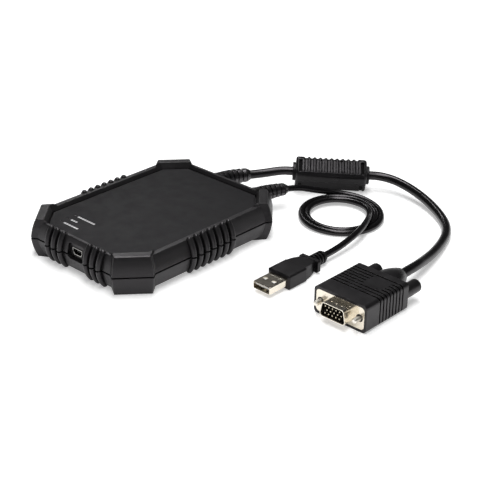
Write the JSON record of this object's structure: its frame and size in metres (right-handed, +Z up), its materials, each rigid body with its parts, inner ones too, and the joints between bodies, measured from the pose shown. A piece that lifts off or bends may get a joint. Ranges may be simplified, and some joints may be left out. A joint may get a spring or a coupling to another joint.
{
  "type": "crash cart adapter",
  "caption": "Pocket-sized black crash cart adapter: a ribbed, rubber-cornered case with a mini port in front and short video and USB cords at the back.",
  "frame": {"origin": "centre of the case's footprint, on the surface that its four corner bumpers stand on", "axes": "+Z up, +Y from the mini port in front to the two cord boots at the back, +X to the right seen from the front"},
  "size_m": [0.1988, 0.2104, 0.0223],
  "materials": {
    "housing": "fine satin grain",
    "panel": "fine satin grain",
    "steel": "nickel plated",
    "board": "solder mask",
    "chip": "moulded",
    "light_guide": "smoked clear",
    "nickel": "nickel plated",
    "insulator": "moulded",
    "pale_insulator": "moulded",
    "boot": "soft moulded",
    "video_jacket": "smooth jacket",
    "usb_jacket": "smooth jacket",
    "ferrite_case": "semi gloss",
    "ferrite": "sintered",
    "plug_body": "soft satin",
    "knob": "soft satin",
    "contact": "gold plated"
  },
  "bodies": {
    "adapter": {"top_shell": "housing", "bottom_shell": "housing", "top_panel": "panel", "case_screws": "steel", "main_board": "board", "board_chips": "chip", "cord_headers": "chip", "status_lights": "light_guide", "mini_socket_shell": "nickel", "video_plug_shell": "nickel", "usb_plug_shell": "nickel", "mini_socket_insulator": "insulator", "video_plug_insulator": "insulator", "usb_plug_tongue": "pale_insulator", "video_boot": "boot", "usb_boot": "boot", "video_cord_inner": "video_jacket", "video_cord_middle": "video_jacket", "video_cord_outer": "video_jacket", "usb_cord_lead": "usb_jacket", "usb_cord_coil": "usb_jacket", "usb_cord_tail": "usb_jacket", "ferrite_case_lower": "ferrite_case", "ferrite_core_lower": "ferrite", "video_plug_hood": "plug_body", "usb_plug_overmold": "plug_body", "video_plug_pins": "contact", "usb_plug_contacts": "contact"},
    "thumbscrew_left": {"thumbscrew_rod_left": "steel", "thumbscrew_knob_left": "knob"},
    "thumbscrew_right": {"thumbscrew_rod_right": "steel", "thumbscrew_knob_right": "knob"},
    "ferrite_lid": {"ferrite_case_upper": "ferrite_case", "ferrite_core_upper": "ferrite"}
  },
  "joints": [
    {"name": "thumbscrew_left_spin", "type": "hinge", "parent": "adapter", "child": "thumbscrew_left", "pos_m": [0.12151, 0, 0.0078], "axis": [0, 1, 0], "continuous": true},
    {"name": "thumbscrew_right_spin", "type": "hinge", "parent": "adapter", "child": "thumbscrew_right", "pos_m": [0.1465, 0, 0.0078], "axis": [0, 1, 0], "continuous": true},
    {"name": "ferrite_lid_hinge", "type": "hinge", "parent": "adapter", "child": "ferrite_lid", "pos_m": [0.0226, 0.12735, 0.0144], "axis": [-0.7438, -0.6669, 0.0449], "range_deg": [0, 100]}
  ]
}
